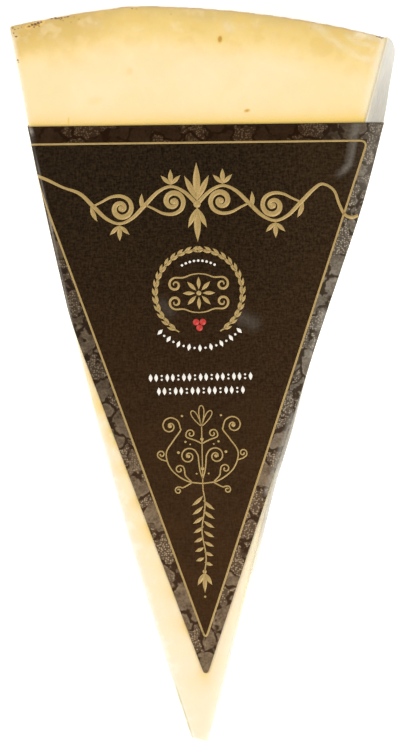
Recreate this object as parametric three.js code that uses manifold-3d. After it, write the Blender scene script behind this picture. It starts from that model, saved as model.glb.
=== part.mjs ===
// A wedge of truffle cheese sealed in tight clear film, with a three-sided paper label on its upper face.
// Units are millimetres. +Z is up and +Y runs from the wedge's blunt tip to the rim of its wheel.
// The wedge lies on its lower face. The origin is the middle of the box round it, at the level of that face.
import * as THREE from "three";
import { mergeVertices } from "three/addons/utils/BufferGeometryUtils.js";
import Module from "manifold-3d";

const wasm = await Module();
wasm.setup();

const point = (x, y) => new THREE.Vector2(x, y);

// Driving dimensions of the wedge
const thickness = 32;
const tipToRim = 146.6;
const rimWidth = 75.3;
const tipWidth = 3.4;
const rimSwell = 0.6;
const upperEdgeRadius = 0.8;
const lowerEdgeRadius = 1.4;

// Driving dimensions of the flange, the welded film that stands out along the right upper edge
const flangeThickness = 0.6;
const flangeRoot = 1.3;
const flangeDroop = 0.06;

// Driving dimensions of the label
const labelWidth = 76.4;
const labelHeight = 112.6;
const labelTipRadius = 1.0;
const labelThickness = 0.3;
const labelGap = 0.15;

// The wedge's corners, seen from above and listed anticlockwise. The rim has a soft bend at its crest.
const crestY = tipToRim / 2;
const rimLeft = point(-rimWidth / 2 - 0.65, crestY - 3.9);
const tipLeft = point(-tipWidth / 2 - 0.35, 0.8 - crestY);
const tipRight = point(tipWidth / 2 - 0.35, -crestY);
const rimRight = point(rimWidth / 2 - 0.65, crestY - 6.3);
const rimCrest = point(-14.2, crestY);

// Each side: where it starts, how round that corner is, and how far the side bows out at its middle.
const sides = [
  { from: rimLeft, cornerRadius: 1.6, bow: 2.6 },
  { from: tipLeft, cornerRadius: 1.0, bow: 0.1 },
  { from: tipRight, cornerRadius: 1.0, bow: 0.0 },
  { from: rimRight, cornerRadius: 2.0, bow: 1.9 },
  { from: rimCrest, cornerRadius: 9.0, bow: 0.35 },
];
const sideStep = 4;
const cornerSteps = 5;

// The flange's width at distances along the right side, measured from the rim's right corner.
const flangeWidths = [
  [-0.6, 0.5],
  [2, 2.0],
  [9, 2.9],
  [22, 3.6],
  [45, 2.75],
  [57, 1.8],
  [63, 1.05],
  [76, 0.95],
  [92, 0.35],
  [104, 0.1],
];
const flangeSections = 44;

// A side from a to b as a circular arc that stands out to the right of its direction by bow at its middle.
function arcSide(a, b, bow) {
  const chord = b.clone().sub(a);
  const half = chord.length() / 2;
  const along = chord.clone().normalize();
  const outward = point(along.y, -along.x);
  if (bow === 0) return { length: 2 * half, at: (t) => a.clone().lerp(b, t), outward };
  const radius = (half * half + bow * bow) / (2 * bow);
  const centre = a.clone().lerp(b, 0.5).addScaledVector(outward, bow - radius);
  const halfAngle = Math.asin(half / radius);
  const at = (t) => {
    const angle = (2 * t - 1) * halfAngle;
    return centre
      .clone()
      .addScaledVector(outward, radius * Math.cos(angle))
      .addScaledVector(along, radius * Math.sin(angle));
  };
  return { length: 2 * halfAngle * radius, at, outward, centre, radius };
}

const arcs = sides.map((side, i) => arcSide(side.from, sides[(i + 1) % sides.length].from, side.bow));
const [leftSide, , rightSide] = arcs;

// The wedge's outline: each side's arc, trimmed at both ends, with a round corner before it.
function wedgeOutline() {
  const points = [];
  sides.forEach((side, i) => {
    const before = arcs[(i + sides.length - 1) % sides.length];
    const arc = arcs[i];
    const next = sides[(i + 1) % sides.length];
    const cut = (radius, length) => Math.min(radius / length, 0.4);
    const start = arc.at(cut(side.cornerRadius, arc.length));
    const corner = new THREE.QuadraticBezierCurve(
      before.at(1 - cut(side.cornerRadius, before.length)),
      side.from,
      start,
    );
    points.push(...corner.getPoints(cornerSteps));
    const first = cut(side.cornerRadius, arc.length);
    const last = 1 - cut(next.cornerRadius, arc.length);
    const steps = Math.max(1, Math.round(((last - first) * arc.length) / sideStep));
    for (let k = 1; k < steps; k += 1) points.push(arc.at(first + ((last - first) * k) / steps));
  });
  return points;
}

// The outward direction at each point of a closed outline, square to the line between its neighbours.
function outwardNormals(outline) {
  return outline.map((_, i) => {
    const before = outline[(i + outline.length - 1) % outline.length];
    const after = outline[(i + 1) % outline.length];
    const along = after.clone().sub(before).normalize();
    return point(along.y, -along.x);
  });
}

// A closed solid from rows of points that all run the same way round, with flat ends of loose triangles.
function loftedSolid(rows, endFaces) {
  const count = rows[0].length;
  const positions = rows.flat().flatMap((p) => [p.x, p.y, p.z]);
  const index = [];
  for (let r = 0; r + 1 < rows.length; r += 1) {
    for (let i = 0; i < count; i += 1) {
      const a = r * count + i;
      const b = r * count + ((i + 1) % count);
      index.push(a, b, b + count, a, b + count, a + count);
    }
  }
  const top = (rows.length - 1) * count;
  for (const [a, b, c] of endFaces) {
    index.push(a, c, b, top + a, top + b, top + c);
  }
  const geometry = new THREE.BufferGeometry();
  geometry.setAttribute("position", new THREE.Float32BufferAttribute(positions, 3));
  geometry.setIndex(index);
  return geometry;
}

// The packed wedge. Its rim swells out at mid height and its long edges are round, as tight film leaves them.
function wedgeGeometry() {
  const outline = wedgeOutline();
  const normals = outwardNormals(outline);
  const edgeSteps = 4;
  const swellSteps = 4;
  const levels = [];
  for (let k = 0; k <= edgeSteps; k += 1) {
    const angle = (k / edgeSteps) * (Math.PI / 2);
    levels.push({
      z: lowerEdgeRadius * (1 - Math.cos(angle)),
      inset: lowerEdgeRadius * (1 - Math.sin(angle)),
    });
  }
  const straight = thickness - lowerEdgeRadius - upperEdgeRadius;
  for (let k = 1; k < swellSteps; k += 1) {
    levels.push({ z: lowerEdgeRadius + (straight * k) / swellSteps, inset: 0 });
  }
  for (let k = 0; k <= edgeSteps; k += 1) {
    const angle = (k / edgeSteps) * (Math.PI / 2);
    levels.push({
      z: thickness - upperEdgeRadius * (1 - Math.sin(angle)),
      inset: upperEdgeRadius * (1 - Math.cos(angle)),
    });
  }
  const rows = levels.map(({ z, inset }) =>
    outline.map((p, i) => {
      const rimShare = THREE.MathUtils.smoothstep(normals[i].y, 0.3, 0.9);
      const swell = rimSwell * rimShare * Math.sin((Math.PI * z) / thickness);
      const moved = p.clone().addScaledVector(normals[i], swell - inset);
      return new THREE.Vector3(moved.x, moved.y, z);
    }),
  );
  const endFaces = THREE.ShapeUtils.triangulateShape(outline, []);
  return loftedSolid(rows, endFaces);
}

// How far the flange, and the label on it, hang down at a distance outside the wedge's right side.
const droopAt = (outside) => flangeDroop * Math.max(0, outside) ** 2;

// The flange: thin four-cornered sections from inside the wedge out to the flange's free edge.
function flangeGeometry() {
  const widths = new THREE.SplineCurve(flangeWidths.map(([along, width]) => point(along, width)));
  const rows = widths.getSpacedPoints(flangeSections).map(({ x: along, y: width }) => {
    const foot = rightSide.at(1 - along / rightSide.length);
    const section = [
      [-flangeRoot, 0],
      [width / 2, 0],
      [width, 0],
      [width, 1],
      [width / 2, 1],
      [-flangeRoot, 1],
    ];
    return section.map(([outside, below]) => {
      const p = foot.clone().addScaledVector(rightSide.outward, outside);
      const z = thickness - 0.03 - droopAt(outside) - below * flangeThickness;
      return new THREE.Vector3(p.x, p.y, z);
    });
  });
  const endFaces = [
    [0, 1, 4],
    [0, 4, 5],
    [1, 2, 3],
    [1, 3, 4],
  ];
  return loftedSolid(rows, endFaces);
}

// Where a point of the flat label ends up, lifted off the film: flat on the wedge, drooping on the flange,
// and bent down over the rounded left upper edge.
function layLabel(flat, lift) {
  const fromCentre = flat.clone().sub(leftSide.centre);
  const outside = fromCentre.length() - leftSide.radius;
  const outward = fromCentre.normalize();
  const past = outside + upperEdgeRadius;
  if (past <= 0) {
    const overRight = flat.clone().sub(rimRight).dot(rightSide.outward);
    return new THREE.Vector3(flat.x, flat.y, thickness + lift - droopAt(overRight));
  }
  const bendRadius = upperEdgeRadius + lift;
  const quarter = upperEdgeRadius * (Math.PI / 2);
  const angle = Math.min(past, quarter) / upperEdgeRadius;
  const reach = leftSide.radius - upperEdgeRadius + bendRadius * Math.sin(angle);
  const p = leftSide.centre.clone().addScaledVector(outward, reach);
  const fall = bendRadius * (1 - Math.cos(angle)) + Math.max(0, past - quarter);
  return new THREE.Vector3(p.x, p.y, thickness + lift - fall);
}

// The flat label is a triangle with a round tip. Its axis leans a little to the left.
const labelTip = point(1.2, -62.3);
const labelLean = 0.0208;
const labelAxis = point(-Math.sin(labelLean), Math.cos(labelLean));
const labelAcross = point(labelAxis.y, -labelAxis.x);
const labelHalfAngle = Math.atan(labelWidth / 2 / labelHeight);

// Half the label's width at a distance from the end of its round tip.
function labelHalfWidth(fromEnd) {
  const roundEnd = labelTipRadius * (1 - Math.sin(labelHalfAngle));
  if (fromEnd < roundEnd) return Math.sqrt(labelTipRadius ** 2 - (labelTipRadius - fromEnd) ** 2);
  return (fromEnd + labelTipRadius * (1 / Math.sin(labelHalfAngle) - 1)) * Math.tan(labelHalfAngle);
}

// The label as a thin solid whose upper and lower faces have the same triangles. Its rows run from the tip
// to the upper edge, and its columns lie close together where it bends down over the left edge.
function labelGeometry() {
  const pointed = labelTipRadius * (1 / Math.sin(labelHalfAngle) - 1);
  const fullHeight = labelHeight - pointed;
  const rowEnds = [0.03, 0.15, 0.35, 0.7, 1.2];
  const straightRows = 40;
  for (let k = 1; k <= straightRows; k += 1) {
    rowEnds.push(1.2 + ((fullHeight - 1.2) * k) / straightRows);
  }
  const shares = [];
  for (let k = 0; k < 9; k += 1) shares.push(k * 0.01);
  for (let k = 0; k < 9; k += 1) shares.push(0.12 + k * 0.1);
  shares.push(0.95, 0.975, 1);
  const ring = (fromEnd) => {
    const half = labelHalfWidth(fromEnd);
    const middle = labelTip.clone().addScaledVector(labelAxis, pointed + fromEnd);
    const flat = shares.map((share) =>
      middle.clone().addScaledVector(labelAcross, half * (2 * share - 1)),
    );
    const under = flat.map((p) => layLabel(p, labelGap));
    const over = flat.map((p) => layLabel(p, labelGap + labelThickness));
    return [...over, ...under.reverse()];
  };
  const last = shares.length - 1;
  const endFaces = [];
  for (let k = 0; k < last; k += 1) {
    const below = 2 * last + 1 - k;
    endFaces.push([k, k + 1, below - 1], [k, below - 1, below]);
  }
  return loftedSolid(rowEnds.map(ring), endFaces);
}

// A closed geometry as a manifold solid, turned to face outwards.
function toSolid(geometry) {
  const merged = mergeVertices(geometry, 1e-4);
  const triVerts = new Uint32Array(merged.index.array);
  const vertProperties = new Float32Array(merged.attributes.position.array);
  const solid = new wasm.Manifold(new wasm.Mesh({ numProp: 3, vertProperties, triVerts }));
  if (solid.volume() >= 0) return solid;
  for (let i = 0; i < triVerts.length; i += 3) {
    [triVerts[i + 1], triVerts[i + 2]] = [triVerts[i + 2], triVerts[i + 1]];
  }
  return new wasm.Manifold(new wasm.Mesh({ numProp: 3, vertProperties, triVerts }));
}

function toMesh(name, solid, look) {
  const mesh = solid.getMesh();
  const geometry = new THREE.BufferGeometry();
  geometry.setAttribute("position", new THREE.BufferAttribute(mesh.vertProperties, 3));
  geometry.setIndex(new THREE.BufferAttribute(mesh.triVerts, 1));
  geometry.computeVertexNormals();
  const made = new THREE.Mesh(geometry, new THREE.MeshStandardMaterial(look));
  made.name = name;
  return made;
}

// The film and the cheese that fills it are one solid, with the flange joined on.
const bag = toMesh("sealed_bag", toSolid(wedgeGeometry()).add(toSolid(flangeGeometry())), {
  color: 0xfee6a8,
  roughness: 0.25,
  metalness: 0,
});
const label = toMesh("label", toSolid(labelGeometry()), {
  color: 0x33241a,
  roughness: 0.45,
  metalness: 0,
});

const pack = new THREE.Group();
pack.add(bag, label);
const box = new THREE.Box3().setFromObject(pack);
pack.position.set(-(box.min.x + box.max.x) / 2, -(box.min.y + box.max.y) / 2, -box.min.z);

export default pack;
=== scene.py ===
"""A wedge of truffle cheese, vacuum packed in clear film, with a dark three-sided label on its upper face.

Shapes are worked out in millimetres, with +Y from the wedge's tip to its rim. Meshes are in metres.
"""

from math import atan, copysign, cos, hypot, pi, radians, sin, sqrt

import bpy
import numpy as np
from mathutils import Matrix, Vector


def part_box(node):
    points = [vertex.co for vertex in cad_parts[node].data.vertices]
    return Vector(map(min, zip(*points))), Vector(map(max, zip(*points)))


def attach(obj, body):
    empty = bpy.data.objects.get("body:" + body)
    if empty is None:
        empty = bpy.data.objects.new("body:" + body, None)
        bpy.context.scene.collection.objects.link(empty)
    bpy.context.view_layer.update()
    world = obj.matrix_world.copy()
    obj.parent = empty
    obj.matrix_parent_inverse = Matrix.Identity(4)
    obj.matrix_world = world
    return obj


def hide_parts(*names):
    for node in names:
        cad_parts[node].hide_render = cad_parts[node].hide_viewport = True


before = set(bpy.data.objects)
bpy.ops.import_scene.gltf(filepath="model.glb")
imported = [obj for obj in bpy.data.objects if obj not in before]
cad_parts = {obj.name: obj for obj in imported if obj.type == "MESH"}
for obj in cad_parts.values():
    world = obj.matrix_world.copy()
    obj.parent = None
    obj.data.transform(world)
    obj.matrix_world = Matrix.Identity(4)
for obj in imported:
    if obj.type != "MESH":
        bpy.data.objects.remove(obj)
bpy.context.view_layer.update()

MM = 0.001
FLAT_MAP = 100  # millimetres to one unit of a piece's flat map

# The wedge as it was cut: its corners in plan, and how far each side bows out at its middle
TIP_TO_RIM = 146.6
CREST_Y = TIP_TO_RIM / 2
RIM_LEFT = np.array([-38.5, CREST_Y - 3.8])
TIP_LEFT = np.array([-2.1, 0.15 - CREST_Y])
TIP_RIGHT = np.array([1.75, -0.9 - CREST_Y])
RIM_RIGHT = np.array([37.75, CREST_Y - 6.1])
RIM_CREST = np.array([-14.5, CREST_Y + 0.3])
LEFT_BOW = 2.6
RIGHT_BOW = -0.3
RIM_LEFT_BOW = 0.3
RIM_RIGHT_BOW = 1.65
CREST_ROUNDING = 1.6
RIM_SWELL = 0.35
BAG_LOW, BAG_HIGH = np.array(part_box("sealed_bag")) / MM
THICKNESS = BAG_HIGH[2] - BAG_LOW[2]

# Round edges of the tight film: their reach in plan, above and below
CORNER_REACH = 0.6
UPPER_EDGE = 0.8
LOWER_EDGE = 1.4
CHEESE_INSET = 0.12

# The welded flange along the right upper edge: distances from the rim's corner, and widths
FLANGE_WIDTHS = [(0, -0.6), (0.3, 0.2), (1, 1), (3, 1.9), (9, 2.45), (15, 3.05), (22, 3.24), (45, 2.5),
                 (57, 1.54), (63, 1.1), (78, 0.92), (87, 0.5), (91, 0.3), (96, 0.25), (104, 0.33),
                 (110, 0.36), (118, 0.1), (130, 0), (143.5, -0.5)]
FLANGE_DROOP = 0.06
FLANGE_PLY = 0.2
FLANGE_ROOT = 0.9
FLANGE_SINK = 0.06
FLANGE_STEPS = 12

# The flat label: its print's axis leans from a foot. Its cut edges meet a little above that.
PRINT_FOOT = np.array([1.2, -62.3])
PRINT_LEAN = 0.0208
LABEL_APEX = np.array([-0.18, 1.1])
LABEL_SPREAD = 0.356
LABEL_HEIGHT = 112
LABEL_TIP_RADIUS = 0.6
LABEL_CURL = [(50, 0), (60, 0.15), (68, 0.3), (80, 0.3), (90, 0.22), (97, 0.38), (104, 0.85), (111, 1.45)]
LABEL_TOP_TILT = 0.0085
LABEL_LIFT = 0.11
LABEL_PAPER = 0.08
INK_HEIGHT = 0.045
INK_FOOT = -0.02

# The gold line printed inside the label's edge
LINE_FOOT = np.array([-0.09, 8.96])
LINE_SPREAD = 0.348
LINE_LEAN = 0.003
LINE_TOP = 108.4
LINE_TURN = 0.42
LINE_WIDTH = 0.42

# The printed vine across the top: its middle height, half a wave's length, and its swing
VINE_MIDDLE = 96.1
VINE_HALF_WAVE = 10.4
VINE_SWING = 3.6
WREATH = np.array([0, 78.3])
WREATH_RADIUS = 8.7
LYRE_FOOT = 40.2

PRINT_ACROSS = np.array([cos(PRINT_LEAN), sin(PRINT_LEAN)])
PRINT_UP = np.array([-sin(PRINT_LEAN), cos(PRINT_LEAN)])
LABEL_HALF_ANGLE = atan(LABEL_SPREAD)

# What the photo's frame shows: its height at 0.2 mm for each of its 752 pixels, and its middle in the plan
PHOTO_HEIGHT = 150.4
PHOTO_MIDDLE = (-0.2, -0.6)


def unit(vectors):
    """Vectors divided by their lengths."""
    return vectors / np.linalg.norm(vectors, axis=-1, keepdims=True)


def right_of(way):
    """The direction square to a way, on its right."""
    return np.stack([way[..., 1], -way[..., 0]], axis=-1)


def side_curve(start, end, bow, t):
    """A bowed side: the straight line plus 4 t (1 - t) times its bow to the right."""
    t = np.asarray(t)[..., None]
    return start + (end - start) * t + 4 * bow * t * (1 - t) * right_of(unit(end - start))


def even(count):
    """Even steps from 0 to 1."""
    return np.linspace(0, 1, count)


def curve_through(knots, steps):
    """A path of cubics through knots, each slope half the next minus the last knot."""
    knots = np.array(knots, float)
    padded = np.r_[2 * knots[:1] - knots[1:2], knots, 2 * knots[-1:] - knots[-2:-1]]
    place = np.linspace(0, len(knots) - 1, steps)
    stretch = np.minimum(place.astype(int), len(knots) - 2)
    t = (place - stretch)[:, None]
    shares = (2 * t**2 - t - t**3, 2 - 5 * t**2 + 3 * t**3, t + 4 * t**2 - 3 * t**3, t**3 - t**2)
    return sum(padded[stretch + k] * share for k, share in enumerate(shares)) / 2


def bend(start, corner, end, steps):
    """A quadratic curve from start to end, drawn towards a corner."""
    t = even(steps)[:, None]
    return (1 - t) ** 2 * start + 2 * t * (1 - t) * corner + t**2 * end


def mitred(corner, first_way, second_way, inset):
    """A corner between two sides after both have moved in by inset."""
    first, second = right_of(unit(first_way)), right_of(unit(second_way))
    return corner - inset * (first + second) / (1 + first @ second)


class Plan:
    """The wedge's outline seen from above, moved in by inset."""

    def __init__(self, inset):
        corners = [RIM_LEFT, TIP_LEFT, TIP_RIGHT, RIM_RIGHT, RIM_CREST]
        ways = [after - corner for corner, after in zip(corners, corners[1:] + corners[:1])]
        self.rim_left, self.tip_left, self.tip_right, self.rim_right, self.crest = (
            mitred(corner, ways[k - 1], ways[k], inset) for k, corner in enumerate(corners)
        )
        self.rim_path = self.softened_rim()
        steps = np.linalg.norm(np.diff(self.rim_path, axis=0), axis=1)
        self.rim_share = np.r_[[0], np.cumsum(steps)] / steps.sum()

    def softened_rim(self):
        """The rim from left to right: two bowed sides and a bend round the crest."""
        first = np.linalg.norm(self.crest - self.rim_left)
        second = np.linalg.norm(self.rim_right - self.crest)
        t = even(120)
        left = side_curve(self.crest, self.rim_left, RIM_LEFT_BOW, 1 - t * (1 - CREST_ROUNDING / first))
        right_t = t * (1 - CREST_ROUNDING / second)
        right = side_curve(self.rim_right, self.crest, RIM_RIGHT_BOW, right_t)[::-1]
        return np.r_[left, bend(left[-1], self.crest, right[0], 120)[1:-1], right]

    def left(self, u):
        return side_curve(self.rim_left, self.tip_left, LEFT_BOW, 1 - u)

    def right(self, u):
        return side_curve(self.tip_right, self.rim_right, RIGHT_BOW, u)

    def tip(self, v):
        return side_curve(self.tip_left, self.tip_right, 0, v)

    def rim(self, v):
        return np.stack([np.interp(v, self.rim_share, self.rim_path[:, k]) for k in range(2)], axis=-1)

    def place(self, u, v):
        """A point at u from tip to rim, v from left: both pairs of curves mixed, less the corners."""
        across, along = v[..., None], u[..., None]
        sides = (1 - across) * self.left(u) + across * self.right(u)
        ends = (1 - along) * self.tip(v) + along * self.rim(v)
        corners = (1 - along) * ((1 - across) * self.tip_left + across * self.tip_right)
        corners = corners + along * ((1 - across) * self.rim_left + across * self.rim_right)
        return sides + ends - corners

    def side_normal(self, u, v):
        """The outward direction at the left side where v is low, else at the right."""
        nudge = 0.002
        left = unit(self.left(u - nudge) - self.left(u + nudge))
        right = unit(self.right(u + nudge) - self.right(u - nudge))
        return np.where(v[..., None] < 0.5, right_of(left), right_of(right))

    def end_normal(self, u, v):
        """The outward direction at the tip where u is low, else at the rim."""
        nudge = 0.01
        low, high = np.clip(v - nudge, 0, 1), np.clip(v + nudge, 0, 1)
        tip = unit(self.tip(high) - self.tip(low))
        rim = unit(self.rim(low) - self.rim(high))
        return np.where(u[..., None] < 0.5, right_of(tip), right_of(rim))


def grid_lines(core, edge_steps):
    """Grid lines across a box: its core's, and more for the round edge at each end."""
    edge = np.arange(1, edge_steps + 1) / edge_steps
    return np.r_[-edge[::-1], core, 1 + edge]


def grid_faces(rows, columns, closed=False):
    """The faces of a grid of points, whose columns may close into rings."""
    number = np.arange(rows * columns).reshape(rows, columns)
    if closed:
        number = np.c_[number, number[:, :1]]
    corners = [number[:-1, :-1], number[:-1, 1:], number[1:, 1:], number[1:, :-1]]
    return np.stack(corners, axis=-1).reshape(-1, 4)


# The corners of a face in the other order, from the same first one
TURNED = [0, 3, 2, 1]


def closed_box(lines):
    """The six sides of a box of grid lines as one closed skin."""
    points, faces, count = [], [], 0
    for axis in range(3):
        second, third = (axis + 1) % 3, (axis + 2) % 3
        a, b = np.meshgrid(lines[second], lines[third], indexing="ij")
        quads = grid_faces(*a.shape)[:, TURNED]
        for end in (0, -1):
            patch = np.empty((a.size, 3))
            patch[:, axis] = lines[axis][end]
            patch[:, second] = a.ravel()
            patch[:, third] = b.ravel()
            points.append(patch)
            faces.append(count + (quads if end else quads[:, ::-1]))
            count += a.size
    merged, where = np.unique(np.round(np.concatenate(points), 6), axis=0, return_inverse=True)
    return merged, where.reshape(-1)[np.concatenate(faces)]


def wedge_skin(lines, inset):
    """A closed skin of the wedge, moved in by inset: its points, its outward directions and its faces.

    Each point of a box is split into a place in the core and what is left over. The core is the plan moved
    in by the edges' reach. What is left over, bent to a quarter turn, points outwards and rounds the edges.
    """
    box, faces = closed_box(lines)
    core = np.clip(box, 0, 1)
    over = np.tan((box - core) * pi / 4)
    v, u, w = core.T
    plan = Plan(CORNER_REACH)
    flat = over[:, :1] * plan.side_normal(u, v) * np.where(v < 0.5, -1, 1)[:, None]
    flat = flat + over[:, 1:2] * plan.end_normal(u, v) * np.where(u < 0.5, -1, 1)[:, None]
    outward = unit(np.c_[flat, over[:, 2]])
    rise = np.where(outward[:, 2] > 0, UPPER_EDGE, LOWER_EDGE) - inset
    height = LOWER_EDGE + w * (THICKNESS - UPPER_EDGE - LOWER_EDGE) + rise * outward[:, 2]
    at_rim = np.clip((outward[:, 1] - 0.3) / 0.6, 0, 1) * (u > 0.5)
    swell = RIM_SWELL * at_rim**2 * (3 - 2 * at_rim) * np.sin(pi * np.clip(height / THICKNESS, 0, 1))
    spot = plan.place(u, v) + outward[:, :2] * (CORNER_REACH - inset + swell)[:, None]
    return np.c_[spot, height], outward, faces


def ripples(points, wavelength, seed, count=9):
    """Soft random relief of about -1 to 1: a sum of sine waves that run every way."""
    rng = np.random.default_rng(seed)
    ways = unit(rng.normal(size=(count, points.shape[1])))
    lengths = wavelength * rng.uniform(0.7, 1.5, count)
    phases = rng.uniform(0, 2 * pi, count)
    waves = np.sin(points @ ways.T * (2 * pi / lengths) + phases)
    return waves.sum(axis=1) / sqrt(count)


def distance_to(points, path):
    """How far each point is from a path of straight stretches."""
    nearest = np.full(len(points), np.inf)
    for start, end in zip(path[:-1], path[1:]):
        way = end - start
        t = np.clip((points - start) @ way / (way @ way), 0, 1)
        nearest = np.minimum(nearest, np.linalg.norm(points - start - t[:, None] * way, axis=1))
    return nearest


def put_in_scene(name, data):
    """A new object with this mesh, light or camera."""
    thing = bpy.data.objects.new(name, data)
    bpy.context.scene.collection.objects.link(thing)
    return thing


def make_piece(name, slot, points, faces, finish, painted=None, flat=None, replaces=True):
    """One piece of the pack: its mesh in metres, its finish, painted values and flat map."""
    mesh = bpy.data.meshes.new(name)
    mesh.from_pydata(((points + PACK_SHIFT) * MM).tolist(), [], list(faces))
    for key, values in (painted or {}).items():
        mesh.attributes.new(key, "FLOAT", "POINT").data.foreach_set("value", values.astype(np.float32))
    if flat is not None:
        corners = np.empty(len(mesh.loops), dtype=np.int32)
        mesh.loops.foreach_get("vertex_index", corners)
        uv = (flat / FLAT_MAP)[corners].astype(np.float32)
        mesh.uv_layers.new(name="flat").data.foreach_set("uv", uv.ravel())
    mesh.materials.append(finish)
    mesh.polygons.foreach_set("use_smooth", np.ones(len(mesh.polygons), dtype=bool))
    mesh.update()
    piece = put_in_scene(name, mesh)
    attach(piece, "root")
    if replaces:
        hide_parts(slot)
    return piece


def pack_shift():
    """From the plan to the frame: the skin's left corner and rim go to the sealed bag's."""
    coarse = [grid_lines(even(count), steps) for count, steps in ((40, 8), (40, 8), (9, 4))]
    points = wedge_skin(coarse, 0)[0]
    return np.array([BAG_LOW[0] - points[:, 0].min(), BAG_HIGH[1] - points[:, 1].max(), 0])


PACK_SHIFT = pack_shift()


# Finishes

def tint(red, green, blue):
    """A colour as a screen shows it, 0 to 255, as the linear one that the finishes mix."""
    screen = np.array([red, green, blue]) / 255
    linear = np.where(screen <= 0.04045, screen / 12.92, ((screen + 0.055) / 1.055) ** 2.4)
    return (*linear.tolist(), 1)


def through(operation, reflected=False):
    """A method that puts a wire and the values it is given through a Math node."""
    def put(self, *others):
        values = (*others, self) if reflected else (self, *others)
        return self.finish.node("Math", dict(enumerate(values)), operation=operation)
    return put


class Wire:
    """A value on its way through a finish. Sums on it add Math nodes."""

    def __init__(self, finish, socket):
        self.finish = finish
        self.socket = socket

    __add__ = through("ADD")
    __radd__ = through("ADD", reflected=True)
    __sub__ = through("SUBTRACT")
    __rsub__ = through("SUBTRACT", reflected=True)
    __mul__ = through("MULTIPLY")
    __rmul__ = through("MULTIPLY", reflected=True)
    __truediv__ = through("DIVIDE")
    __pow__ = through("POWER")
    larger = through("MAXIMUM")
    smaller = through("MINIMUM")
    size = through("ABSOLUTE")
    wave = through("SINE")

    def rise(self, low, high):
        """0 below low, 1 above high and smooth between. With high below low it falls."""
        return self.finish.node("MapRange", {0: self, 1: low, 2: high}, interpolation_type="SMOOTHSTEP")


class Finish:
    """A material in the making."""

    def __init__(self, name, owner=None):
        self.material = owner or bpy.data.materials.new(name)
        self.material.use_nodes = True
        self.tree = self.material.node_tree
        self.tree.nodes.clear()

    def node(self, kind, sockets=None, output=0, **settings):
        """Adds a node: its settings, then its sockets' values or links. Gives one output's wire."""
        node = self.tree.nodes.new("ShaderNode" + kind)
        for key, value in settings.items():
            setattr(node, key, value)
        for key, value in (sockets or {}).items():
            if isinstance(value, Wire):
                self.tree.links.new(value.socket, node.inputs[key])
            else:
                node.inputs[key].default_value = value
        return Wire(self, node.outputs[output]) if node.outputs else None

    def object_place(self):
        """Where a point is on the piece, in millimetres."""
        return self.scaled(self.node("TexCoord", output="Object"), 1 / MM)

    def flat_place(self):
        """Where a point is on the piece's flat map, in millimetres."""
        return self.scaled(self.node("UVMap", uv_map="flat"), FLAT_MAP)

    def scaled(self, vector, scale):
        return self.node("VectorMath", {0: vector, "Scale": scale}, operation="SCALE")

    def vector(self, operation, first, second):
        return self.node("VectorMath", {0: first, 1: second}, operation=operation)

    def parts(self, vector):
        """The three parts of a vector."""
        return [self.node("SeparateXYZ", {0: vector}, output=k) for k in range(3)]

    def painted(self, name):
        """A value painted on the piece's points."""
        return self.node("Attribute", output="Fac", attribute_name=name)

    def noise(self, place, size, detail=2, roughness=0.5, output=0):
        """Cloudy noise from 0 to 1, with clouds about size across."""
        sockets = {"Vector": place, "Scale": 1 / size, "Detail": detail, "Roughness": roughness}
        return self.node("TexNoise", sockets, output)

    def cells(self, place, size, feature="F1", output="Distance", randomness=1):
        """Cells about size across: a point's distance from its cell's middle, in cells."""
        sockets = {"Vector": place, "Scale": 1 / size, "Randomness": randomness}
        return self.node("TexVoronoi", sockets, output, feature=feature)

    def blend(self, factor, first, second):
        """The first colour where factor is 0 and the second where it is 1."""
        return self.node("Mix", {0: factor, 6: first, 7: second}, output=2, data_type="RGBA")

    def layers(self, base, *layers):
        """A screen colour under layers of (factor, colour), each over those before it."""
        coloured = tint(*base)
        for factor, colour in layers:
            coloured = self.blend(factor, coloured, colour if isinstance(colour, Wire) else tint(*colour))
        return coloured

    def done(self, colour, roughness, relief, depth, cover=None, clear=None, **sockets):
        """The material: a surface of this colour, roughness and relief, clear where cover is 0."""
        named = {key.replace("_", " "): value for key, value in sockets.items()}
        if depth:
            named["Normal"] = self.node("Bump", {"Height": relief, "Distance": depth * MM})
        shader = self.node("BsdfPrincipled", {"Base Color": colour, "Roughness": roughness, **named})
        if cover:
            film = self.node("BsdfTransparent", {0: clear})
            shader = self.node("MixShader", {0: cover, 1: film, 2: shader})
        self.node("OutputMaterial", {"Surface": shader})
        return self.material


# Eyes in the paste: place on the upper face, half width, half length, lean in degrees and depth of colour
EYES = [(3.8, 66.8, 0.4, 0.6, 8, 1), (9.2, 52.5, 0.26, 0.46, 78, 0.85), (-14.3, 60.4, 0.5, 0.7, 30, 0.22),
        (-21.2, 54.5, 0.7, 1.4, 80, 0.18), (-26.5, 50.4, 0.14, 0.6, 0, 0.6),
        (-34.4, 69.3, 0.3, 0.6, 78, 0.9), (-33, 69.7, 0.36, 0.8, 78, 1), (-31.8, 70.1, 0.24, 0.5, 60, 0.7)]


def eyes_in_paste(x, y):
    """How deep in an eye each place is: the strongest of some ellipses."""
    deepest = 0
    for across, up, half_width, half_length, lean, strength in EYES:
        turn = radians(lean)
        aside = ((x - across) * cos(turn) - (y - up) * sin(turn)) / half_width
        along = ((x - across) * sin(turn) + (y - up) * cos(turn)) / half_length
        deepest = ((aside * aside + along * along).rise(3.4, 0) * strength).larger(deepest)
    return deepest


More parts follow.
